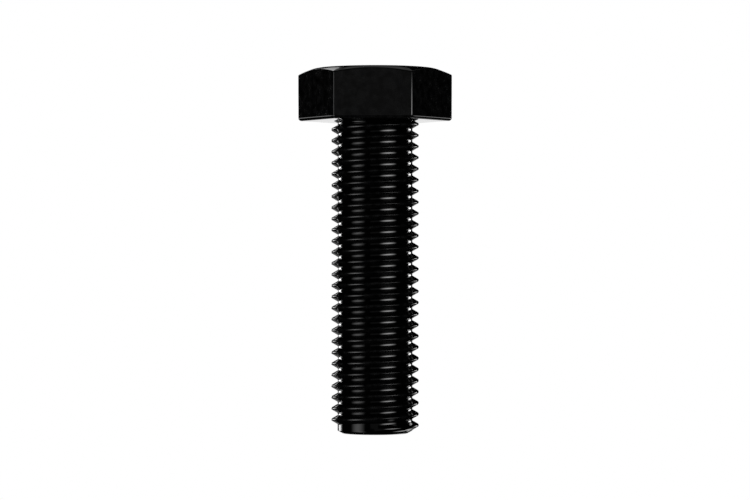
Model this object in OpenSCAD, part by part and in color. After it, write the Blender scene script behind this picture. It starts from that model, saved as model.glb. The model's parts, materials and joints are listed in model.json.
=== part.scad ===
// Fully threaded hex bolt, M20 x 70 with the coarse thread.
// The bolt is one forged and rolled piece of steel. Its three regions are modelled as three
// solids that meet face to face: the hexagonal head with its neck, the threaded shank and
// the chamfered point.
// The origin is the centre of the bearing face under the head. +Z runs along the axis to the
// top of the head, and two of the six wrench flats face +Y and -Y.

/* [Head] */
// Width across the wrench flats
across_flats = 30; // [29:0.1:32]
// Height of the head above the bearing face
head_h = 11.8; // [10:0.1:15]
// Diameter of the flat crown on top of the head
crown_d = 26.8; // [26:0.1:29]
// Slope of the chamfer from the crown down to the corners, in degrees
crown_slope = 21; // [15:1:35]

/* [Neck] */
// Radius of the fillet between the bearing face and the shank
fillet_r = 1.6; // [1.6:0.1:2.2]
// Length of the neck, which belongs to the head
neck_l = 1; // [0.8:0.1:1.5]

/* [Thread] */
// Diameter over the crests
crest_d = 19.65; // [19.3:0.05:19.95]
// Diameter at the roots
root_d = 16.8; // [16.75:0.05:16.9]
// Distance from one crest to the next
pitch = 2.5; // [2.5:0.1:3]
// Width of the flat along the crest
crest_w = 0.4; // [0.2:0.05:0.45]
// Angle between the two flanks, in degrees
thread_angle = 60; // [50:1:60]
// Bearing at which the crest runs into the head, in degrees from +X
crest_bearing = 105; // [0:5:355]
// Turns at the point that are left without a ridge
bare_turns = 0.45; // [0:0.05:0.5]
// Turns over which the ridge then rises to its full height
lead_in = 0.25; // [0.25:0.25:1]
// Flats that each turn of the thread is cut into
steps = 32; // [24:2:36]

/* [Point] */
// Length of the shank, from the bearing face to the end
shank_l = 70; // [40:5:80]
// Diameter of the flat end
end_d = 14.6; // [13:0.1:16]
// Height of the chamfer round the end
chamfer_h = 0.6; // [0.4:0.1:1.5]

/* [Hidden] */
$fn = 96;
root_r = root_d / 2;
crest_r = crest_d / 2;
end_r = end_d / 2;
crown_r = crown_d / 2;
corner_r = across_flats / 2 / cos(30);
// The round blank that the hexagon is cut from clears its corners
blank_r = corner_r + 1;
blank_h = head_h - (blank_r - crown_r) * tan(crown_slope);
bearing_r = root_r + fillet_r;
ridge_h = crest_r - root_r;
flank_w = ridge_h * tan(thread_angle / 2);
// Height of the plane between the shank and its point
point_top = chamfer_h - shank_l;
// Radial growth of the end chamfer for each millimetre of height
chamfer_spread = (root_r - end_r) / chamfer_h;
// How far the neck's length of thread reaches up into the head, so that the two join
head_overlap = 0.5;
// The fillet stops this far above the foot of the neck, where only the thread is cut flat
fillet_gap = 0.05;
// Where the thread is cut flat, its unused corners lie on the cut, drawn in from its edge
// by this least distance and by this share of the height that each one has lost
tuck_min = 0.02;
tuck_share = 0.2;
// Whole turns of the thread below the bearing face
turns = floor(shank_l / pitch);

// The ridge's section has four corners, numbered up the side of the shank: how far each one
// rises, as a share of the ridge's height, and where it is along the axis from mid-crest
RISE = [0, 1, 1, 0];
OFFSET = [-crest_w / 2 - flank_w, -crest_w / 2, crest_w / 2, crest_w / 2 + flank_w];

// The helix climbs by one pitch in so many steps. At step 0 it is level with the end, or just
// above it where the pitch doesn't divide the length
function crest_z(i) = pitch * (i / steps - turns);
function corner_z(i, k) = crest_z(i) + OFFSET[k];

// Height of the next corner down, and of the next corner up, on the same bearing
function z_below(i, k) = k > 0 ? corner_z(i, k - 1) : corner_z(i - steps, 3);
function z_above(i, k) = k < 3 ? corner_z(i, k + 1) : corner_z(i + steps, 0);

// The end chamfer carries on outwards through the thread, and nothing passes it
function chamfer_r(z) = root_r + chamfer_spread * max(0, z - point_top);

// Radius of corner k of the ridge at step i
function corner_r_at(i, k) =
    let (lead = max(0, min(1, (i / steps - bare_turns) / lead_in)))
    min(root_r + ridge_h * RISE[k] * lead, chamfer_r(corner_z(i, k)));

// Radius of the full thread at height z on the bearing of step i
function surface_r(i, z) =
    let (turn = (z - crest_z(i)) / pitch)
    let (from_crest = pitch * abs(turn - round(turn)))
    let (share = (crest_w / 2 + flank_w - from_crest) / flank_w)
    min(root_r + ridge_h * max(0, min(1, share)), chamfer_r(z));

// How far a corner that is cut off by the height lost is drawn in
function tuck(lost) = lost < 0 ? 0 : tuck_min + tuck_share * lost;

// Corner k at step i, cut to the stretch between two heights
function corner(i, k, low, high) =
    let (z = corner_z(i, k))
    let (r = z < low ? surface_r(i, low) - tuck(low - z_above(i, k))
           : z > high ? surface_r(i, high) - tuck(z_below(i, k) - high)
           : corner_r_at(i, k))
    let (bearing = crest_bearing + 360 * i / steps)
    [r * cos(bearing), r * sin(bearing), max(low, min(high, z))];

// A length of threaded bar between two heights, cut flat at both ends
module threaded_bar(low, high) {
    first = floor(steps * ((low - OFFSET[3]) / pitch + turns)) - steps;
    last = ceil(steps * ((high - OFFSET[0]) / pitch + turns)) + steps;
    function id(i, k) = 4 * (i - first) + k;
    points = [for (i = [first:last]) for (k = [0:3]) corner(i, k, low, high)];
    // Two triangles between four corners, given from the lower left one
    function quad(a, b, c, d) = [[a, b, c], [a, c, d]];
    ridge = [
        for (i = [first:last - 1]) for (k = [0:2])
        each quad(id(i, k), id(i, k + 1), id(i + 1, k + 1), id(i + 1, k))
    ];
    root = [
        for (i = [first:last - steps - 1])
        each quad(id(i, 3), id(i + steps, 0), id(i + steps + 1, 0), id(i + 1, 3))
    ];
    low_end = [
        for (i = [first:first + steps]) id(i, 0),
        for (k = [3:-1:1]) id(first, k)
    ];
    high_end = [
        for (i = [last:-1:last - steps]) id(i, 3),
        for (k = [0:2]) id(last, k)
    ];
    polyhedron(points, [each ridge, each root, low_end, high_end]);
}

// Hexagonal head: the prism, with its corners turned down to the round crown
module hexagon() {
    intersection() {
        cylinder(r = corner_r, h = head_h, $fn = 6);
        rotate_extrude()
            polygon([[0, 0], [blank_r, 0], [blank_r, blank_h], [crown_r, head_h], [0, head_h]]);
    }
}

// The fillet flares from the shank to the bearing face
module fillet() {
    fillet_l = neck_l - fillet_gap;
    rotate_extrude()
        difference() {
            translate([0, -fillet_l]) square([bearing_r, fillet_l]);
            translate([bearing_r, -fillet_r]) circle(fillet_r);
        }
}

module hex_head() {
    color("#16181a") {
        union() {
            hexagon();
            fillet();
            threaded_bar(-neck_l, head_overlap);
        }
    }
}

module threaded_shank() {
    color("#1b1d20") threaded_bar(point_top, -neck_l);
}

module chamfered_point() {
    color("#202326")
        translate([0, 0, -shank_l])
            cylinder(r1 = end_r, r2 = root_r, h = chamfer_h);
}

hex_head();
threaded_shank();
chamfered_point();
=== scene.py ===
import json
import math

import bmesh
import bpy
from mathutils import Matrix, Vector


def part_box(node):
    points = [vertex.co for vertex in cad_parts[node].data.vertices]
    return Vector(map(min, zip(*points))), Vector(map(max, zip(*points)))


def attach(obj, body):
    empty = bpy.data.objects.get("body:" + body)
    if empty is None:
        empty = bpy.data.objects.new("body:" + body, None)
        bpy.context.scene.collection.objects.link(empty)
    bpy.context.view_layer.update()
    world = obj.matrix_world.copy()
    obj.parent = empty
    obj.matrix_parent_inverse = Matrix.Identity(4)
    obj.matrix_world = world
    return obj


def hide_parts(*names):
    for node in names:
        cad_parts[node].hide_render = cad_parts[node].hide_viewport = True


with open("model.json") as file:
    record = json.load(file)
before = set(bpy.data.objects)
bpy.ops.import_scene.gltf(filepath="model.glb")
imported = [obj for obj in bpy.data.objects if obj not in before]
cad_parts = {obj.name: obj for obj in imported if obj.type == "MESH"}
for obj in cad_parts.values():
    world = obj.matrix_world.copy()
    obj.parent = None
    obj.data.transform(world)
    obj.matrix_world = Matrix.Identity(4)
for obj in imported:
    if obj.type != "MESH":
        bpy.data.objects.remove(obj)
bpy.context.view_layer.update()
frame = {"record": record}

# A black hex bolt, M20 x 70, threaded to the head. It stands on the end of its thread in a
# white studio. The bolt is one piece of steel, drawn as the same three regions as the CAD:
# the head with its neck, the thread and the chamfered point.

MM = 0.001


def mount(name):
    """The record's mount of that name."""
    return next(m for m in frame["record"]["mounts"] if m["name"] == name)


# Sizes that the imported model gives
_, head_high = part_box("hex_head")
point_low, point_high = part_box("chamfered_point")
CORNER_R = head_high.x
HEAD_H = head_high.z
CREST_R = mount("external_thread")["dims"]["r_mm"] * MM
ROOT_R = point_high.x
POINT_TOP = point_high.z
END_Z = point_low.z

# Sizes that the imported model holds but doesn't name
CROWN_R = 13.4 * MM
CROWN_SLOPE = math.radians(21)
END_R = 7.3 * MM
PITCH = 2.5 * MM
CREST_W = 0.4 * MM
FLANK_SLOPE = math.radians(30)
CREST_BEARING = math.radians(105)
BARE_TURNS = 0.45
LEAD_IN = 0.25

# Small radii that a forged, rolled and tumbled bolt has on its edges. The fillet under the
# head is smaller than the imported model's
FILLET_R = 0.6 * MM
CORNER_ROUND = 0.5 * MM
CROWN_ROUND = 6 * MM
SHOULDER_ROUND = 0.35 * MM
FOOT_ROUND = 0.75 * MM
CREST_ROUND = 0.34 * MM
ROOT_ROUND = 0.12 * MM
END_ROUND = 0.15 * MM

# The thread reaches this far up into the head, and the point stays this far inside its roots
OVERLAP = 0.3 * MM
INSIDE = 0.02 * MM
# Where the thread is cut flat, its points past the cut lie on it, drawn in from its edge by
# this least distance and by this share of the height that they have lost
TUCK_MIN = 0.02 * MM
TUCK_SHARE = 0.2

# How far the rounded edges are worn, from 0 to 1: round the head, and at the point
EDGE_WEAR = 0.6
POINT_WEAR = 0.8

# Colours of the finish, and the depth of its grain
OXIDE_BLUE = (0.0008, 0.0009, 0.0011, 1)
OXIDE_BROWN = (0.0020, 0.0019, 0.0018, 1)
BURNISHED = (0.014, 0.0142, 0.0146, 1)
GRAIN_DEPTH = 0.0008 * MM

# Fineness of the meshes: steps round one turn of the thread, round the point, along one side
# of the hexagon, and round each kind of small radius
THREAD_STEPS = 120
POINT_STEPS = 160
FLAT_STEPS = 14
CORNER_STEPS = 10
FILLET_STEPS = 10
ARC_STEPS = 5

# The camera and the lights look at the bolt's middle. The lens and its sensor are in
# millimetres, and the other lengths in metres
MIDDLE = Vector((0, 0, (HEAD_H + END_Z) / 2))
PANEL_DISTANCE = 3
CAMERA_AZIMUTH = math.radians(1.85)
CAMERA_DISTANCE = 675 * MM
CAMERA_RISE = Vector((0, 0, 0.16 * MM))
LENS = 144.4
SENSOR_WIDTH = 36
FLOOR_HALF_WIDTH = 6


# ---------------------------------------------------------------- outlines

def arc(centre, radius, start, stop, count):
    """Points along a circular arc, both ends included."""
    return [
        (centre[0] + radius * math.cos(start + (stop - start) * k / count),
         centre[1] + radius * math.sin(start + (stop - start) * k / count))
        for k in range(count + 1)
    ]


def rounded(points, radii):
    """A polyline whose inner corners are rounded. A corner with no radius stays one point."""
    out = [points[0]]
    for before, here, after, radius in zip(points, points[1:], points[2:], radii):
        if not radius:
            out.append(here)
            continue
        back = (Vector(before) - Vector(here)).normalized()
        ahead = (Vector(after) - Vector(here)).normalized()
        half = math.acos(max(-1, min(1, back.dot(ahead)))) / 2
        centre = Vector(here) + (back + ahead).normalized() * radius / math.sin(half)
        first = Vector(here) + back * radius / math.tan(half) - centre
        last = Vector(here) + ahead * radius / math.tan(half) - centre
        turn = math.atan2(first.x * last.y - first.y * last.x, first.dot(last))
        start = math.atan2(first.y, first.x)
        out += arc(centre, radius, start, start + turn, ARC_STEPS)
    out.append(points[-1])
    return out


# ---------------------------------------------------------------- meshes

def new_piece(name, verts, faces, wear, slot, node):
    """A smooth piece that stands for a CAD node. wear says how exposed each point is."""
    mesh = bpy.data.meshes.new(name)
    mesh.from_pydata(verts, [], faces)
    mesh.validate()
    attribute = mesh.attributes.new("wear", "FLOAT", "POINT")
    attribute.data.foreach_set("value", wear)
    piece = bpy.data.objects.new(name, mesh)
    bpy.context.scene.collection.objects.link(piece)
    fixer = bmesh.new()
    fixer.from_mesh(mesh)
    bmesh.ops.recalc_face_normals(fixer, faces=fixer.faces)
    fixer.to_mesh(mesh)
    fixer.free()
    mesh.shade_smooth()
    normals = piece.modifiers.new("flat faces stay flat", "WEIGHTED_NORMAL")
    normals.weight = 80
    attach(piece, "root")
    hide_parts(node)
    return piece


def rings(loops, wear_of_loop):
    """Points, faces and wear of a skin over loops of equal length, with a fan at either end."""
    count = len(loops[0])
    verts = [p for loop in loops for p in loop]
    wear = [w for loop in wear_of_loop for w in loop]
    faces = [
        (j * count + i, j * count + (i + 1) % count,
         (j + 1) * count + (i + 1) % count, (j + 1) * count + i)
        for j in range(len(loops) - 1) for i in range(count)
    ]
    for j in (0, len(loops) - 1):
        hub = len(verts)
        verts.append((0, 0, sum(p[2] for p in loops[j]) / count))
        wear.append(0)
        faces += [(j * count + i, j * count + (i + 1) % count, hub) for i in range(count)]
    return verts, faces, wear


def around(bearing, radius, z):
    """A point at a bearing and a radius from the bolt's axis."""
    return (radius * math.cos(bearing), radius * math.sin(bearing), z)


# ---------------------------------------------------------------- head

def hexagon_outline():
    """Bearings, radii and edge wear round the hexagon, with its six corners rounded."""
    half = math.radians(30)
    centre_r = CORNER_R - CORNER_ROUND / math.cos(half)
    corners = []
    for side in range(6):
        mid = 2 * half * side
        centre = Vector((math.cos(mid), math.sin(mid))) * centre_r
        corners.append(arc(centre, CORNER_ROUND, mid - half, mid + half, CORNER_STEPS))
    middle = CORNER_STEPS / 2
    outline = []
    for corner, following in zip(corners, corners[1:] + corners[:1]):
        outline += [(p, 1 - abs(k - middle) / (middle + 1)) for k, p in enumerate(corner)]
        start, stop = Vector(corner[-1]), Vector(following[0])
        outline += [(start.lerp(stop, k / FLAT_STEPS), 0) for k in range(1, FLAT_STEPS)]
    return [(math.atan2(p[1], p[0]), math.hypot(*p), w) for p, w in outline]


def head_section(outer_r):
    """The head's section on one bearing, from half way out on the crown down to the neck. The
    fillet stops a hair outside the thread's roots."""
    edge_h = HEAD_H - (outer_r - CROWN_R) * math.tan(CROWN_SLOPE)
    bearing_r = ROOT_R + FILLET_R
    outside = rounded(
        [(CROWN_R / 2, HEAD_H), (CROWN_R, HEAD_H), (outer_r, edge_h), (outer_r, 0),
         (bearing_r, 0)],
        [CROWN_ROUND, SHOULDER_ROUND, FOOT_ROUND])
    start, stop = math.radians(90), math.radians(172)
    fillet = arc((bearing_r, -FILLET_R), FILLET_R, start, stop, FILLET_STEPS)
    return outside + fillet[1:]


def make_head():
    """The head, as one loop round the hexagon for each point of its section. Past point 0 the
    section has the crown's edge, the shoulder and the foot, and then the fillet."""
    outline = hexagon_outline()
    sections = [head_section(radius) for _, radius, _ in outline]
    edge_points = ARC_STEPS + 1
    shoulder = 1 + edge_points
    foot_end = 3 * edge_points
    loops, wear = [], []
    for j in range(len(sections[0])):
        loops.append([around(b, s[j][0], s[j][1]) for (b, _, _), s in zip(outline, sections)])
        on_edge = 1 <= j <= foot_end
        on_side = shoulder <= j <= foot_end
        wear.append([max(EDGE_WEAR * on_edge, w * on_side) for _, _, w in outline])
    return new_piece("head", *rings(loops, wear), "black_steel_head", "hex_head")


# ---------------------------------------------------------------- thread

def ridge_section():
    """One pitch of the thread, as points up the side of the shank: how far each one is along
    the axis from mid-crest, and its radius."""
    flank_w = (CREST_R - ROOT_R) * math.tan(FLANK_SLOPE)
    foot = CREST_W / 2 + flank_w
    middle = PITCH / 2
    corners = [(-middle, ROOT_R), (-foot, ROOT_R), (-CREST_W / 2, CREST_R),
               (CREST_W / 2, CREST_R), (foot, ROOT_R), (middle, ROOT_R)]
    return rounded(corners, [ROOT_ROUND, CREST_ROUND, CREST_ROUND, ROOT_ROUND])[:-1]


def profile_radius(section, lift):
    """The full thread's radius at a height above mid-crest, which may be any number of turns."""
    lift -= PITCH * round(lift / PITCH)
    for (low, low_r), (high, high_r) in zip(section, section[1:]):
        if low <= lift <= high:
            return low_r + (high_r - low_r) * (lift - low) / max(high - low, 1e-9)
    return ROOT_R


def thread_faces(index, first, last, rows):
    """The faces of the wound sheet, and one face over each of its flat ends. index gives the
    number of the point at a step and a row."""
    faces = []
    for i in range(first, last):
        for k in range(rows):
            up = (i, k + 1) if k + 1 < rows else (i + THREAD_STEPS, 0)
            right = (up[0] + 1, up[1])
            if right in index:
                faces.append((index[i, k], index[i + 1, k], index[right], index[up]))
    low_end = [(i, 0) for i in range(first, first + THREAD_STEPS + 1)]
    low_end += [(first, k) for k in range(rows - 1, 0, -1)]
    high_end = [(i, rows - 1) for i in range(last, last - THREAD_STEPS - 1, -1)]
    high_end += [(last, k) for k in range(rows - 1)]
    return faces + [tuple(index[key] for key in end) for end in (low_end, high_end)]


def make_thread():
    """The thread as one sheet wound up the shank and cut flat at both ends. The end chamfer
    carries on outwards through it, and the outer quarter of the ridge is worn."""
    section = ridge_section()
    turns = int(-END_Z / PITCH)
    chamfer_spread = (ROOT_R - END_R) / (POINT_TOP - END_Z)
    first = -2 * THREAD_STEPS
    last = (turns + 2) * THREAD_STEPS
    verts, wear, index = [], [], {}
    for i in range(first, last + 1):
        bearing = CREST_BEARING + math.tau * i / THREAD_STEPS
        crest_z = PITCH * (i / THREAD_STEPS - turns)
        rise = max(0.0, min(1.0, (i / THREAD_STEPS - BARE_TURNS) / LEAD_IN))
        for k, (offset, radius) in enumerate(section):
            z = crest_z + offset
            cut = max(POINT_TOP, min(OVERLAP, z))
            if z > cut:
                r = profile_radius(section, cut - crest_z)
            elif z < cut:
                r = ROOT_R
            else:
                r = ROOT_R + (radius - ROOT_R) * rise
            r = min(r, ROOT_R + chamfer_spread * (cut - POINT_TOP))
            if z != cut:
                r -= TUCK_MIN + TUCK_SHARE * abs(z - cut)
            index[i, k] = len(verts)
            verts.append(around(bearing, r, cut))
            height = (r - ROOT_R) / (CREST_R - ROOT_R)
            wear.append(max(0.0, height * 4 - 3) * rise)
    faces = thread_faces(index, first, last, len(section))
    return new_piece("thread", verts, faces, wear, "black_steel_thread", "threaded_shank")


# ---------------------------------------------------------------- point

def make_point():
    """The chamfered end, from the middle of its flat up to inside the thread."""
    top_r = ROOT_R - INSIDE
    section = rounded(
        [(END_R / 2, END_Z), (END_R, END_Z), (top_r, POINT_TOP), (top_r, POINT_TOP + OVERLAP)],
        [END_ROUND, 0])
    bearings = [math.tau * i / POINT_STEPS for i in range(POINT_STEPS)]
    loops = [[around(bearing, r, z) for bearing in bearings] for r, z in section]
    on_edge = [0 < j < len(section) - 2 for j in range(len(section))]
    wear = [[POINT_WEAR * worn] * POINT_STEPS for worn in on_edge]
    return new_piece("point", *rings(loops, wear), "black_steel_point", "chamfered_point")


# ---------------------------------------------------------------- material

def noise(tree, place, scale, detail, stretch=(1, 1, 1)):
    """A noise from 0 to 1. Its scale is in features per metre along an unstretched axis."""
    mapping = tree.nodes.new("ShaderNodeMapping")
    mapping.inputs["Scale"].default_value = stretch
    tree.links.new(place, mapping.inputs["Vector"])
    texture = tree.nodes.new("ShaderNodeTexNoise")
    texture.inputs["Scale"].default_value = scale
    texture.inputs["Detail"].default_value = detail
    tree.links.new(mapping.outputs["Vector"], texture.inputs["Vector"])
    return texture.outputs["Fac"]


def spread_out(tree, value, low, high, to_low, to_high):
    """A value's range from low to high, moved smoothly to another range."""
    node = tree.nodes.new("ShaderNodeMapRange")
    node.interpolation_type = "SMOOTHSTEP"
    node.inputs["From Min"].default_value = low
    node.inputs["From Max"].default_value = high
    node.inputs["To Min"].default_value = to_low
    node.inputs["To Max"].default_value = to_high
    tree.links.new(value, node.inputs["Value"])
    return node.outputs["Result"]


def combine(tree, operation, first, second):
    """Two values joined by a sum or a product."""
    node = tree.nodes.new("ShaderNodeMath")
    node.operation = operation
    tree.links.new(first, node.inputs[0])
    tree.links.new(second, node.inputs[1])
    return node.outputs["Value"]


def blend_colours(tree, factor, first, second):
    """A mix of two colours, each given as a colour or as the output of another mix. A mix node
    has its two colours on sockets 6 and 7, and its result on output 2."""
    node = tree.nodes.new("ShaderNodeMix")
    node.data_type = "RGBA"
    tree.links.new(factor, node.inputs["Factor"])
    for socket, colour in ((node.inputs[6], first), (node.inputs[7], second)):
        if isinstance(colour, tuple):
            socket.default_value = colour
        else:
            tree.links.new(colour, socket)
    return node.outputs[2]


def black_steel(name, line_stretch, line_depth, smoothest, roughest):
    """Oiled black oxide on steel: glossy and nearly black, with mottling, smudges of oil, a
    fine grain, tool lines and edges that handling has burnished. The smudges take its
    roughness from the smoothest to the roughest, and the grain and the wear add to that."""
    material = bpy.data.materials.new(name)
    material.use_nodes = True
    tree = material.node_tree
    shader = tree.nodes["Principled BSDF"]
    shader.inputs["Metallic"].default_value = 0
    shader.inputs["IOR"].default_value = 1.5
    place = tree.nodes.new("ShaderNodeTexCoord").outputs["Object"]

    mottle = spread_out(tree, noise(tree, place, scale=170, detail=4), 0.35, 0.65, 0, 1)
    smears = noise(tree, place, scale=70, detail=3, stretch=(1, 1, 0.4))
    smudge = spread_out(tree, smears, 0.38, 0.66, 0, 1)
    grain = noise(tree, place, scale=2600, detail=2)
    lines = noise(tree, place, scale=1, detail=3, stretch=line_stretch)

    attribute = tree.nodes.new("ShaderNodeAttribute")
    attribute.attribute_name = "wear"
    rubbed = spread_out(tree, noise(tree, place, scale=700, detail=4), 0.3, 0.75, 0, 1)
    worn = combine(tree, "MULTIPLY", attribute.outputs["Fac"], rubbed)

    oxide = blend_colours(tree, mottle, OXIDE_BLUE, OXIDE_BROWN)
    colour = blend_colours(tree, worn, oxide, BURNISHED)
    tree.links.new(colour, shader.inputs["Base Color"])

    oiled = spread_out(tree, smudge, 0, 1, smoothest, roughest)
    grained = spread_out(tree, grain, 0.3, 0.7, 0, (roughest - smoothest) / 2)
    rough = combine(tree, "ADD", oiled, grained)
    rough = combine(tree, "ADD", rough, spread_out(tree, worn, 0, 1, 0, 0.07))
    tree.links.new(rough, shader.inputs["Roughness"])

    fine = tree.nodes.new("ShaderNodeBump")
    fine.inputs["Distance"].default_value = GRAIN_DEPTH
    tree.links.new(grain, fine.inputs["Height"])
    tooled = tree.nodes.new("ShaderNodeBump")
    tooled.inputs["Distance"].default_value = line_depth
    tree.links.new(lines, tooled.inputs["Height"])
    tree.links.new(fine.outputs["Normal"], tooled.inputs["Normal"])
    tree.links.new(tooled.outputs["Normal"], shader.inputs["Normal"])
    return material


def head_steel():
    """Forged: the lines are the marks that trimming leaves up the wrench flats."""
    return black_steel("black_steel_head", (3200, 3200, 260), 0.0012 * MM, 0.02, 0.04)


def thread_steel():
    """Rolled: the lines run round the shank, along the ridge."""
    return black_steel("black_steel_thread", (90, 90, 5200), 0.0010 * MM, 0.045, 0.08)


def point_steel():
    """Turned: the lines run round the chamfer."""
    return black_steel("black_steel_point", (120, 120, 9000), 0.0012 * MM, 0.045, 0.08)


# ---------------------------------------------------------------- studio

def aim(thing, place, target):
    """Puts a camera or a light at a place and turns it to look at a target."""
    thing.location = place
    thing.rotation_mode = "QUATERNION"
    thing.rotation_quaternion = (Vector(target) - Vector(place)).to_track_quat("-Z", "Y")


def seen_from_bolt(azimuth, elevation, distance):
    """A place that many degrees to the right of the camera and above the bolt's middle."""
    a = math.radians(azimuth) + CAMERA_AZIMUTH
    e = math.radians(elevation)
    return MIDDLE + distance * Vector(
        (math.sin(a) * math.cos(e), -math.cos(a) * math.cos(e), math.sin(e)))


def soften(data, soft):
    """Fades a light's radiance towards its edges, over those shares of its half width and its
    half height."""
    data.use_nodes = True
    nodes, links = data.node_tree.nodes, data.node_tree.links
    glow = nodes["Emission"]
    place = nodes.new("ShaderNodeNewGeometry")
    split = nodes.new("ShaderNodeSeparateXYZ")
    links.new(place.outputs["Parametric"], split.inputs["Vector"])
    product = nodes.new("ShaderNodeMath")
    product.operation = "MULTIPLY"
    for k in range(2):
        shift = nodes.new("ShaderNodeMath")
        shift.operation = "SUBTRACT"
        shift.inputs[1].default_value = 0.5
        links.new(split.outputs[k], shift.inputs[0])
        fold = nodes.new("ShaderNodeMath")
        fold.operation = "ABSOLUTE"
        links.new(shift.outputs[0], fold.inputs[0])
        fade = nodes.new("ShaderNodeMapRange")
        fade.interpolation_type = "SMOOTHSTEP"
        fade.inputs["From Min"].default_value = 0.5
        fade.inputs["From Max"].default_value = 0.5 - 0.5 * soft[k]
        links.new(fold.outputs[0], fade.inputs["Value"])
        links.new(fade.outputs[0], product.inputs[k])
    links.new(product.outputs[0], glow.inputs["Strength"])


def panel(name, azimuth, elevation, half_width, half_height, radiance, soft=(1, 1)):
    """A soft box that faces the bolt, with its place and its size in degrees."""
    data = bpy.data.lights.new(name, "AREA")
    data.shape = "RECTANGLE"
    data.size = 2 * PANEL_DISTANCE * math.tan(math.radians(half_width))
    data.size_y = 2 * PANEL_DISTANCE * math.tan(math.radians(half_height))
    data.energy = radiance * math.pi * data.size * data.size_y
    soften(data, soft)
    light = bpy.data.objects.new(name, data)
    bpy.context.scene.collection.objects.link(light)
    aim(light, seen_from_bolt(azimuth, elevation, PANEL_DISTANCE), MIDDLE)
    light.visible_camera = False


def make_camera():
    data = bpy.data.cameras.new("camera")
    data.lens = LENS
    data.sensor_width = SENSOR_WIDTH
    data.clip_start = 0.05
    data.clip_end = 50
    camera = bpy.data.objects.new("camera", data)
    bpy.context.scene.collection.objects.link(camera)
    aim(camera, seen_from_bolt(0, 0, CAMERA_DISTANCE) + CAMERA_RISE, MIDDLE + CAMERA_RISE)
    bpy.context.scene.camera = camera


def make_floor():
    """A plain white floor under the end of the thread. From below it is clear, so that the end
    can be seen."""
    half = FLOOR_HALF_WIDTH
    corners = [(-half, -half), (half, -half), (half, half), (-half, half)]
    mesh = bpy.data.meshes.new("floor")
    mesh.from_pydata([(x, y, END_Z) for x, y in corners], [], [(0, 1, 2, 3)])
    floor = bpy.data.objects.new("floor", mesh)
    bpy.context.scene.collection.objects.link(floor)
    material = bpy.data.materials.new("white_floor")
    material.use_nodes = True
    nodes, links = material.node_tree.nodes, material.node_tree.links
    nodes.clear()
    glow = nodes.new("ShaderNodeEmission")
    clear = nodes.new("ShaderNodeBsdfTransparent")
    side = nodes.new("ShaderNodeNewGeometry")
    mix = nodes.new("ShaderNodeMixShader")
    out = nodes.new("ShaderNodeOutputMaterial")
    links.new(side.outputs["Backfacing"], mix.inputs["Fac"])
    links.new(glow.outputs["Emission"], mix.inputs[1])
    links.new(clear.outputs["BSDF"], mix.inputs[2])
    links.new(mix.outputs["Shader"], out.inputs["Surface"])
    mesh.materials.append(material)
    floor.visible_glossy = False
    floor.visible_diffuse = False
    floor.visible_shadow = False


def make_world():
    """White where the camera sees it, and a nearly dark room in the bolt's reflections."""
    world = bpy.data.worlds.new("studio")
    world.use_nodes = True
    bpy.context.scene.world = world
    nodes, links = world.node_tree.nodes, world.node_tree.links
    nodes.clear()
    path = nodes.new("ShaderNodeLightPath")
    white = nodes.new("ShaderNodeBackground")
    white.inputs["Color"].default_value = (1, 1, 1, 1)
    room = nodes.new("ShaderNodeBackground")
    room.inputs["Color"].default_value = (0.001, 0.001, 0.001, 1)
    mix = nodes.new("ShaderNodeMixShader")
    out = nodes.new("ShaderNodeOutputWorld")
    links.new(path.outputs["Is Camera Ray"], mix.inputs["Fac"])
    links.new(room.outputs["Background"], mix.inputs[1])
    links.new(white.outputs["Background"], mix.inputs[2])
    links.new(mix.outputs["Shader"], out.inputs["Surface"])


def make_lights():
    """Soft boxes. Each line has the azimuth, the elevation, the half width and the half height
    in degrees, the radiance and how soft the edges are. Azimuths past 90 are behind the bolt."""
    panel("right softbox", 41.5, 1, 30, 11, 7)
    panel("left softbox", -54.5, 3, 26, 20, 1.5, (1, 0.7))
    panel("left softbox low", -54.5, -27, 26, 18, 5)
    panel("backdrop right", 135, 0, 10, 6, 8, (0.2, 0.6))
    panel("backdrop left", -139, 0, 10, 6, 8.5, (0.2, 0.6))
    panel("backdrop far left", -165, 0, 11, 4.5, 1.4, (0.3, 0.6))
    panel("backdrop", 180, -4, 8, 5, 0.8, (0.3, 0.4))
    panel("backdrop wide", 180, -1.5, 34, 3.5, 0.2, (0.2, 0.5))
    panel("rear floor", 180, -17, 16, 8, 0.3, (0.5, 1))
    panel("rear below right", 165, -36, 5, 14, 1.5, (0.5, 0.6))
    panel("rim above left", -169.4, 23.5, 3.5, 11, 1.2, (0.3, 0.3))
    panel("rim below left", -128, -7, 8, 5, 3)
    panel("rim below right", 124, -13, 9, 6, 3.8)
    panel("front fill", 0, 0, 17, 17, 0.08, (0.3, 0.3))
    panel("rear fill", 180, 43, 20, 10, 0.15, (0.3, 0.3))
    panel("overhead", 20, 87, 19, 19, 0.4)


head = make_head()
thread = make_thread()
point = make_point()
head.data.materials.append(head_steel())
thread.data.materials.append(thread_steel())
point.data.materials.append(point_steel())

make_camera()
make_floor()
make_world()
make_lights()
bpy.context.scene.view_settings.view_transform = "Standard"
